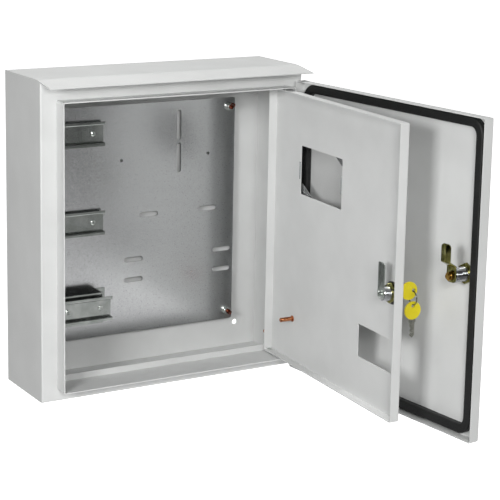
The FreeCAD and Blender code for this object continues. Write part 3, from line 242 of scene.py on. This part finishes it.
def makeMetal(look):
    material, tree, shader, place = newMaterial(look["name"])
    cloud = addNode(tree, "ShaderNodeTexNoise", {"Scale": 1 / (look["cloudMm"] * mm), "Detail": 4.0},
                    {"Vector": place})
    shade = addNode(tree, "ShaderNodeValToRGB", links={"Fac": cloud.outputs["Fac"]})
    rampStops(shade, [(0.3, linear(look["dark"])), (0.5, linear(look["tint"])),
                      (0.68, linear(look["light"]))])
    grain = addNode(tree, "ShaderNodeTexNoise", {"Scale": 1 / (look["grainMm"] * mm), "Detail": 2.0},
                    {"Vector": place})
    gloss = addNode(tree, "ShaderNodeMapRange",
                    {"From Min": 0.3, "From Max": 0.7, "To Min": look["roughness"] * metalSkin["smoothest"],
                     "To Max": look["roughness"] * metalSkin["roughest"]}, {"Value": grain.outputs["Fac"]})
    grained = addNode(tree, "ShaderNodeBump",
                      {"Strength": metalSkin["grain"], "Distance": metalSkin["grainRiseMm"] * mm},
                      {"Height": grain.outputs["Fac"]})
    wavy = addNode(tree, "ShaderNodeBump",
                   {"Strength": look["wave"], "Distance": metalSkin["waveRiseMm"] * mm},
                   {"Height": cloud.outputs["Fac"], "Normal": grained.outputs["Normal"]})
    tree.links.new(shade.outputs["Color"], shader.inputs["Base Color"])
    tree.links.new(gloss.outputs["Result"], shader.inputs["Roughness"])
    tree.links.new(wavy.outputs["Normal"], shader.inputs["Normal"])
    shader.inputs["Metallic"].default_value = 1.0
    return material


# Foamed polyurethane seal, poured in place: black skin, slightly glossy, with open pores here and there
sealLook = {
    "light": "0f1010", "dark": "070808", "roughness": (0.45, 0.7),
    "poreMm": 1.3, "poreShare": 0.4, "waveMm": 9, "relief": 0.25, "reliefMm": 0.4,
}


def makeSeal(look):
    material, tree, shader, place = newMaterial("foamed_polyurethane_seal")
    pores = addNode(tree, "ShaderNodeTexVoronoi", {"Scale": 1 / (look["poreMm"] * mm)},
                    {"Vector": place}, feature="F1")
    wave = addNode(tree, "ShaderNodeTexNoise", {"Scale": 1 / (look["waveMm"] * mm), "Detail": 3.0},
                   {"Vector": place})
    shade = addNode(tree, "ShaderNodeValToRGB", links={"Fac": wave.outputs["Fac"]})
    rampStops(shade, [(0.35, linear(look["dark"])), (0.7, linear(look["light"]))])
    height = addNode(tree, "ShaderNodeMath", {1: look["poreShare"]}, {0: pores.outputs["Distance"]},
                     operation="MULTIPLY")
    relief = addNode(tree, "ShaderNodeMath", links={0: height.outputs["Value"], 1: wave.outputs["Fac"]},
                     operation="ADD")
    bump = addNode(tree, "ShaderNodeBump", {"Strength": look["relief"], "Distance": look["reliefMm"] * mm},
                   {"Height": relief.outputs["Value"]})
    smoothest, roughest = look["roughness"]
    gloss = addNode(tree, "ShaderNodeMapRange", {"To Min": smoothest, "To Max": roughest},
                    {"Value": pores.outputs["Distance"]})
    tree.links.new(shade.outputs["Color"], shader.inputs["Base Color"])
    tree.links.new(gloss.outputs["Result"], shader.inputs["Roughness"])
    tree.links.new(bump.outputs["Normal"], shader.inputs["Normal"])
    return material


# Moulded plastics: even colour, a little cloud from the melt, fine spark texture of the mould
plasticLooks = {
    "yellow_plastic": {
        "name": "moulded_yellow_plastic", "light": "e6d620", "dark": "dfcd14",
        "roughness": (0.3, 0.44), "cloudMm": 15, "grainMm": 0.5},
    "black_washer": {
        "name": "black_nylon_washer", "light": "1d1d1e", "dark": "121213",
        "roughness": (0.39, 0.53), "cloudMm": 6, "grainMm": 0.6},
}
plasticSkin = {"grain": 0.08, "grainRiseMm": 0.06, "refraction": 1.5}


def makePlastic(look):
    material, tree, shader, place = newMaterial(look["name"])
    cloud = addNode(tree, "ShaderNodeTexNoise", {"Scale": 1 / (look["cloudMm"] * mm), "Detail": 3.0},
                    {"Vector": place})
    shade = addNode(tree, "ShaderNodeValToRGB", links={"Fac": cloud.outputs["Fac"]})
    rampStops(shade, [(0.35, linear(look["dark"])), (0.65, linear(look["light"]))])
    grain = addNode(tree, "ShaderNodeTexNoise", {"Scale": 1 / (look["grainMm"] * mm), "Detail": 2.0},
                    {"Vector": place})
    smoothest, roughest = look["roughness"]
    gloss = addNode(tree, "ShaderNodeMapRange",
                    {"From Min": 0.3, "From Max": 0.7, "To Min": smoothest, "To Max": roughest},
                    {"Value": grain.outputs["Fac"]})
    bump = addNode(tree, "ShaderNodeBump",
                   {"Strength": plasticSkin["grain"], "Distance": plasticSkin["grainRiseMm"] * mm},
                   {"Height": grain.outputs["Fac"]})
    tree.links.new(shade.outputs["Color"], shader.inputs["Base Color"])
    tree.links.new(gloss.outputs["Result"], shader.inputs["Roughness"])
    tree.links.new(bump.outputs["Normal"], shader.inputs["Normal"])
    shader.inputs["IOR"].default_value = plasticSkin["refraction"]
    return material


# Clear polycarbonate sheet: almost nothing of its own but gloss, with pale cut edges that catch the light
paneLook = {
    "face": "0b0c0c", "edge": "9ba1a1", "faceAlpha": 0.035, "edgeAlpha": 0.6,
    "roughness": (0.06, 0.2), "rubMm": 14,
    "edgeBelow": 0.5, "faceAbove": 0.9,      # how squarely a surface looks out of the door
    "refraction": 1.58,
}


def makePane(look, facing):
    material, tree, shader, place = newMaterial("clear_polycarbonate_sheet")
    rub = addNode(tree, "ShaderNodeTexNoise", {"Scale": 1 / (look["rubMm"] * mm), "Detail": 5.0},
                  {"Vector": place})
    smoothest, roughest = look["roughness"]
    gloss = addNode(tree, "ShaderNodeMapRange",
                    {"From Min": 0.4, "From Max": 0.8, "To Min": smoothest, "To Max": roughest},
                    {"Value": rub.outputs["Fac"]})
    outward = addNode(tree, "ShaderNodeTexCoord").outputs["Normal"]
    flat = addNode(tree, "ShaderNodeVectorMath", {1: tuple(facing)}, {0: outward}, operation="DOT_PRODUCT")
    flatness = addNode(tree, "ShaderNodeMath", links={0: flat.outputs["Value"]}, operation="ABSOLUTE")
    body = addNode(tree, "ShaderNodeMapRange",
                   {"From Min": look["edgeBelow"], "From Max": look["faceAbove"],
                    "To Min": look["edgeAlpha"], "To Max": look["faceAlpha"]},
                   {"Value": flatness.outputs["Value"]})
    shade = addNode(tree, "ShaderNodeValToRGB", links={"Fac": flatness.outputs["Value"]})
    rampStops(shade, [(look["edgeBelow"], linear(look["edge"])), (look["faceAbove"], linear(look["face"]))])
    tree.links.new(shade.outputs["Color"], shader.inputs["Base Color"])
    tree.links.new(body.outputs["Result"], shader.inputs["Alpha"])
    tree.links.new(gloss.outputs["Result"], shader.inputs["Roughness"])
    shader.inputs["IOR"].default_value = look["refraction"]
    return material


# how far each door stands open gives the way its faces, locks and studs point
innerTurn = math.radians(-joints["inner_door_hinge"]["range_deg"][0])
outerTurn = math.radians(-joints["outer_door_hinge"]["range_deg"][0])
innerNormal = Vector((-math.sin(innerTurn), math.cos(innerTurn), 0))
outerNormal = Vector((-math.sin(outerTurn), math.cos(outerTurn), 0))

finishes = {
    "grey_powder_coat": makePowderCoat(powderCoatLook),
    "galvanised_sheet": makeGalvanised(galvanisedLook),
    "black_foam_gasket": makeSeal(sealLook),
    "clear_pane": makePane(paneLook, innerNormal),
}
for slotName, look in metalLooks.items():
    finishes[slotName] = makeMetal(look)
for slotName, look in plasticLooks.items():
    finishes[slotName] = makePlastic(look)
print("stage: finishes made,", len(finishes))

# each piece of the model takes the finish of its slot, or one of its own where the real piece differs; the rails
# and bracket take a darker zinc whose tone is partly painted shade
ownFinish = {
    "upper_din_rail": "din_rail_strip_painted_shade",
    "middle_din_rail": "din_rail_strip_painted_shade",
    "lower_din_rail": "din_rail_strip_painted_shade",
    "rail_bracket": "din_rail_strip_painted_shade",
    "plate_studs": "tarnished_copper",
    "key_ring": "key_ring_wire",
}
slotOf = {entry["node"]: entry["material_slot"] for entry in frame["record"]["subparts"]}
for nodeName, slotName in slotOf.items():
    piece = nodes[nodeName]
    piece.data.materials.clear()
    piece.data.materials.append(finishes[ownFinish.get(nodeName, slotName)])
print("stage: pieces dressed,", len(slotOf))


# Stamped, cast and turned pieces lose their knife edges: each is a copy of its node with the edges broken
brokenEdges = {
    "outer_lock_cam": {"edgeMm": 0.6, "body": "outer_lock"},
    "outer_cam_nut": {"edgeMm": 0.4, "body": "outer_lock", "slimTo": 0.8, "boreMm": 5.2},
    "inner_lock_cam": {"edgeMm": 0.5, "body": "inner_lock"},
    "outer_lock_nut": {"edgeMm": 0.5, "body": "outer_door"},
    "inner_lock_nut": {"edgeMm": 0.5, "body": "inner_door"},
    "plate_nuts": {"edgeMm": 0.4, "body": "enclosure"},
    "key_head": {"edgeMm": 0.5, "body": "inner_lock"},
    "spare_key_head": {"edgeMm": 0.5, "body": "spare_key"},
}
edgeRule = {
    "flatDeg": 1,         # facets within this are one face
    "cornerDeg": 35,      # edges sharper than this are broken
    "smoothDeg": 40,
    "weldMm": 0.001,
    "closeMm": 0.002,     # corners that the bevel brought together
    "segments": 2,
}


def breakEdges(nodeName, look):
    source = nodes[nodeName]
    shape = bmesh.new()
    shape.from_mesh(source.data)
    bmesh.ops.remove_doubles(shape, verts=shape.verts, dist=edgeRule["weldMm"] * mm)
    bmesh.ops.dissolve_limit(shape, angle_limit=math.radians(edgeRule["flatDeg"]), verts=shape.verts,
                             edges=shape.edges)
    if "slimTo" in look:
        # the real nut has narrower flats than the solid, so its outside is drawn in towards the lock's axis
        centre = Vector(joints["outer_lock_turn"]["pos_m"])
        for vertex in shape.verts:
            onAxis = centre + outerNormal * (vertex.co - centre).dot(outerNormal)
            if (vertex.co - onAxis).length > look["boreMm"] * mm:
                vertex.co = onAxis + (vertex.co - onAxis) * look["slimTo"]
    corners = [edge for edge in shape.edges
               if edge.is_manifold and edge.calc_face_angle() > math.radians(edgeRule["cornerDeg"])]
    bmesh.ops.bevel(shape, geom=corners, offset=look["edgeMm"] * mm, offset_type="OFFSET",
                    segments=edgeRule["segments"], profile=0.5, affect="EDGES", clamp_overlap=True)
    bmesh.ops.remove_doubles(shape, verts=shape.verts, dist=edgeRule["closeMm"] * mm)
    bmesh.ops.dissolve_degenerate(shape, dist=edgeRule["weldMm"] * mm, edges=shape.edges)
    mesh = bpy.data.meshes.new(nodeName + "_eased")
    shape.to_mesh(mesh)
    shape.free()
    mesh.materials.append(source.data.materials[0])
    mesh.shade_smooth()
    mesh.set_sharp_from_angle(angle=math.radians(edgeRule["smoothDeg"]))
    piece = bpy.data.objects.new(nodeName + "_eased", mesh)
    bpy.context.scene.collection.objects.link(piece)
    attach(piece, look["body"])
    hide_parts(nodeName)


for nodeName, look in brokenEdges.items():
    breakEdges(nodeName, look)
print("stage: edges broken on", len(brokenEdges), "pieces")


# Screw threads, wound on the studs and the lock barrels
threadFacets = {"perTurn": 28, "ridge": 4}


def threadTree():
    tree = bpy.data.node_groups.new("wound_thread", "GeometryNodeTree")
    face = tree.interface
    face.new_socket("Geometry", in_out="INPUT", socket_type="NodeSocketGeometry")
    for label in ("Radius", "Pitch", "Length", "Ridge"):
        face.new_socket(label, in_out="INPUT", socket_type="NodeSocketFloat")
    face.new_socket("Finish", in_out="INPUT", socket_type="NodeSocketMaterial")
    face.new_socket("Geometry", in_out="OUTPUT", socket_type="NodeSocketGeometry")
    given = addNode(tree, "NodeGroupInput").outputs
    turns = addNode(tree, "ShaderNodeMath", links={0: given["Length"], 1: given["Pitch"]}, operation="DIVIDE")
    helix = addNode(tree, "GeometryNodeCurveSpiral", {"Resolution": threadFacets["perTurn"]},
                    {"Rotations": turns.outputs["Value"], "Start Radius": given["Radius"],
                     "End Radius": given["Radius"], "Height": given["Length"]})
    ridge = addNode(tree, "GeometryNodeCurvePrimitiveCircle", {"Resolution": threadFacets["ridge"]},
                    {"Radius": given["Ridge"]})
    wound = addNode(tree, "GeometryNodeCurveToMesh", {"Fill Caps": True},
                    {"Curve": helix.outputs["Curve"], "Profile Curve": ridge.outputs["Curve"]})
    axis = addNode(tree, "GeometryNodeInputNamedAttribute", {"Name": "axis"}, data_type="FLOAT_VECTOR")
    turn = addNode(tree, "FunctionNodeAlignRotationToVector", links={"Vector": axis.outputs["Attribute"]},
                   axis="Z")
    put = addNode(tree, "GeometryNodeInstanceOnPoints",
                  links={"Points": given["Geometry"], "Instance": wound.outputs["Mesh"],
                         "Rotation": turn.outputs["Rotation"]})
    whole = addNode(tree, "GeometryNodeRealizeInstances", links={"Geometry": put.outputs["Instances"]})
    done = addNode(tree, "GeometryNodeSetMaterial",
                   links={"Geometry": whole.outputs["Geometry"], "Material": given["Finish"]})
    addNode(tree, "NodeGroupOutput", links={"Geometry": done.outputs["Geometry"]})
    return tree


windThread = threadTree()


def wind(name, body, slotName, starts, axis, sizes, finishName=None):
    mesh = bpy.data.meshes.new(name)
    mesh.from_pydata([tuple(start) for start in starts], [], [])
    directions = mesh.attributes.new("axis", "FLOAT_VECTOR", "POINT")
    for item in directions.data:
        item.vector = axis
    piece = bpy.data.objects.new(name, mesh)
    bpy.context.scene.collection.objects.link(piece)
    modifier = piece.modifiers.new("thread", "NODES")
    modifier.node_group = windThread
    given = {"Radius": sizes["radiusMm"] * mm, "Pitch": sizes["pitchMm"] * mm,
             "Length": sizes["lengthMm"] * mm, "Ridge": sizes["ridgeMm"] * mm,
             "Finish": finishes[finishName or slotName]}
    for socket in windThread.interface.items_tree:
        if socket.in_out == "INPUT" and socket.name in given:
            modifier[socket.identifier] = given[socket.name]
    depsgraph = bpy.context.evaluated_depsgraph_get()
    plain = bpy.data.meshes.new_from_object(piece.evaluated_get(depsgraph))
    piece.modifiers.clear()
    piece.data = plain
    plain.name = name
    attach(piece, body)


mounts = {mount["name"]: mount for mount in frame["record"]["mounts"]}

# M6 weld studs: the four of the plate, one on the side wall and one on the inner door
stud = {"radiusMm": 3, "chamferMm": 0.9}
studThread = {"radiusMm": 2.85, "pitchMm": 1.0, "lengthMm": 8.5, "ridgeMm": 0.3}
low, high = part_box("plate_studs")
studRadius = stud["radiusMm"] * mm
inset = stud["chamferMm"] * mm
tips = [Vector((x, low.y + inset, z)) for x in (low.x + studRadius, high.x - studRadius)
        for z in (low.z + studRadius, high.z - studRadius)]
wind("plate_stud_threads", "enclosure", "coppered_steel", tips, (0, 1, 0), studThread, "tarnished_copper")
earthThread = {"radiusMm": 2.85, "pitchMm": 1.0, "lengthMm": 13, "ridgeMm": 0.3}
low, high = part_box("body_earth_stud")
tip = Vector((low.x + inset, (low.y + high.y) / 2, (low.z + high.z) / 2))
wind("body_earth_thread", "enclosure", "coppered_steel", [tip], (1, 0, 0), earthThread)
doorStud = Vector(mounts["door_earth_post"]["pos_m"])
studMesh = nodes["inner_door_earth_stud"].data
reach = max((vertex.co - doorStud).dot(innerNormal) for vertex in studMesh.vertices)
tip = doorStud + innerNormal * (reach - inset)
wind("inner_door_earth_thread", "inner_door", "coppered_steel", [tip], tuple(-innerNormal), earthThread)

# lock barrels: the thread that takes the nut behind the door
outerBarrelThread = {"radiusMm": 8.75, "pitchMm": 2.0, "lengthMm": 18.4, "ridgeMm": 0.6, "fromMm": 6.9}
start = Vector(joints["outer_lock_turn"]["pos_m"]) + outerNormal * outerBarrelThread["fromMm"] * mm
wind("outer_barrel_thread", "outer_door", "chromed_zinc", [start], tuple(outerNormal), outerBarrelThread)
innerBarrelThread = {"radiusMm": 8.75, "pitchMm": 2.0, "lengthMm": 8.4, "ridgeMm": 0.6, "fromMm": 7.9}
start = Vector(joints["inner_lock_turn"]["pos_m"]) + innerNormal * innerBarrelThread["fromMm"] * mm
wind("inner_barrel_thread", "inner_door", "chromed_zinc", [start], tuple(innerNormal), innerBarrelThread)
print("stage: threads wound")

# white floor and the light of the world around it; lengths in metres
stageLook = {
    "paper": "f4f4f4", "glow": 1.0, "paperRoughness": 0.9,
    "floorDrop": 0.6, "floorSize": 80,
    # a little light from above, full where a direction rises this steeply
    "zenith": 0.03, "zenithAt": 0.8,
    # most of it from below, from where a direction first falls this steeply to where it is full
    "nadir": 1.44, "nadirFrom": -0.19, "nadirTo": -0.34,
    # less of that from the left than from the right
    "leftShare": 0.32, "leftAt": -0.6, "rightAt": 0.3,
}


def makeStage(look):
    lowest = cadBox[0][2] - look["floorDrop"]
    half = look["floorSize"] / 2
    mesh = bpy.data.meshes.new("floor")
    corners = [(x * half, y * half, lowest) for x, y in ((-1, -1), (1, -1), (1, 1), (-1, 1))]
    mesh.from_pydata(corners, [], [(0, 1, 2, 3)])
    floor = bpy.data.objects.new("floor", mesh)
    bpy.context.scene.collection.objects.link(floor)
    material, _, shader, _ = newMaterial("studio_paper")
    shader.inputs["Base Color"].default_value = linear(look["paper"])
    shader.inputs["Emission Color"].default_value = (1, 1, 1, 1)
    shader.inputs["Roughness"].default_value = look["paperRoughness"]
    shader.inputs["Emission Strength"].default_value = look["glow"]
    mesh.materials.append(material)
    # the world gives the light that comes up from the paper, so the floor adds none and blocks none
    floor.visible_diffuse = False
    floor.visible_glossy = False
    floor.visible_shadow = False
    world = bpy.data.worlds.new("studio")
    world.use_nodes = True
    tree = world.node_tree
    heading = addNode(tree, "ShaderNodeTexCoord").outputs["Generated"]
    way = addNode(tree, "ShaderNodeSeparateXYZ", links={"Vector": heading})
    above = addNode(tree, "ShaderNodeMapRange",
                    {"From Min": 0.0, "From Max": look["zenithAt"], "To Max": look["zenith"]},
                    {"Value": way.outputs["Z"]})
    below = addNode(tree, "ShaderNodeMapRange",
                    {"From Min": look["nadirFrom"], "From Max": look["nadirTo"], "To Max": look["nadir"]},
                    {"Value": way.outputs["Z"]})
    sideways = addNode(tree, "ShaderNodeMapRange",
                       {"From Min": look["leftAt"], "From Max": look["rightAt"],
                        "To Min": look["leftShare"], "To Max": 1.0},
                       {"Value": way.outputs["X"]})
    lifted = addNode(tree, "ShaderNodeMath",
                     links={0: below.outputs["Result"], 1: sideways.outputs["Result"]}, operation="MULTIPLY")
    glow = addNode(tree, "ShaderNodeMath", links={0: above.outputs["Result"], 1: lifted.outputs["Value"]},
                   operation="ADD")
    tree.links.new(glow.outputs["Value"], tree.nodes["Background"].inputs["Strength"])
    tree.nodes["Background"].inputs["Color"].default_value = (1, 1, 1, 1)
    bpy.context.scene.world = world


makeStage(stageLook)

# every lamp looks at the origin; area lamps in watts, the overhead bank in watts per square metre
lampLooks = {
    "front_softbox": {"kind": "AREA", "at": (-0.72, -2.2, 0.75), "size": 0.5, "power": 26.2},
    "side_softbox": {"kind": "AREA", "at": (-1.45, -1.15, 0.5), "size": 0.5, "power": 21},
    "top_softbox": {"kind": "AREA", "at": (0.0, 0.2, 1.5), "size": 0.5, "power": 15},
    "overhead_bank": {"kind": "SUN", "at": (0.25, 0.5, 2.0), "angle": 40, "power": 0.9},
}
for name, look in lampLooks.items():
    light = bpy.data.lights.new(name, look["kind"])
    light.energy = look["power"]
    if look["kind"] == "AREA":
        light.size = look["size"]
    else:
        light.angle = math.radians(look["angle"])
    lamp = bpy.data.objects.new(name, light)
    bpy.context.scene.collection.objects.link(lamp)
    lamp.location = look["at"]
    lamp.rotation_euler = (-Vector(look["at"])).to_track_quat("-Z", "Y").to_euler()
    lamp.visible_camera = False

# worked out from the photograph's edges; angles in degrees, lens and sensor in millimetres
cameraLook = {
    "at": (-1.05274, -2.06782, 0.51920),
    "azimuth": -30.044, "elevation": 11.514, "roll": 0.946,
    "lens": 119.19, "sensor": 36, "shift": (0.05287, -0.12794),
}


def makeCamera(look):
    azimuth = math.radians(look["azimuth"])
    elevation = math.radians(look["elevation"])
    roll = math.radians(look["roll"])
    back = Vector((math.sin(azimuth) * math.cos(elevation), -math.cos(azimuth) * math.cos(elevation),
                   math.sin(elevation)))
    side = (-back).cross(Vector((0, 0, 1))).normalized()
    up = side.cross(-back)
    turnedSide = math.cos(roll) * side + math.sin(roll) * up
    turnedUp = -math.sin(roll) * side + math.cos(roll) * up
    data = bpy.data.cameras.new("photo_camera")
    data.lens = look["lens"]
    data.sensor_width = look["sensor"]
    data.shift_x, data.shift_y = look["shift"]
    camera = bpy.data.objects.new("photo_camera", data)
    bpy.context.scene.collection.objects.link(camera)
    turned = Matrix((turnedSide, turnedUp, back)).transposed().to_4x4()
    camera.matrix_world = Matrix.Translation(look["at"]) @ turned
    bpy.context.scene.camera = camera


makeCamera(cameraLook)
bpy.context.scene.view_settings.view_transform = "Standard"
print("stage: floor, light and camera set")
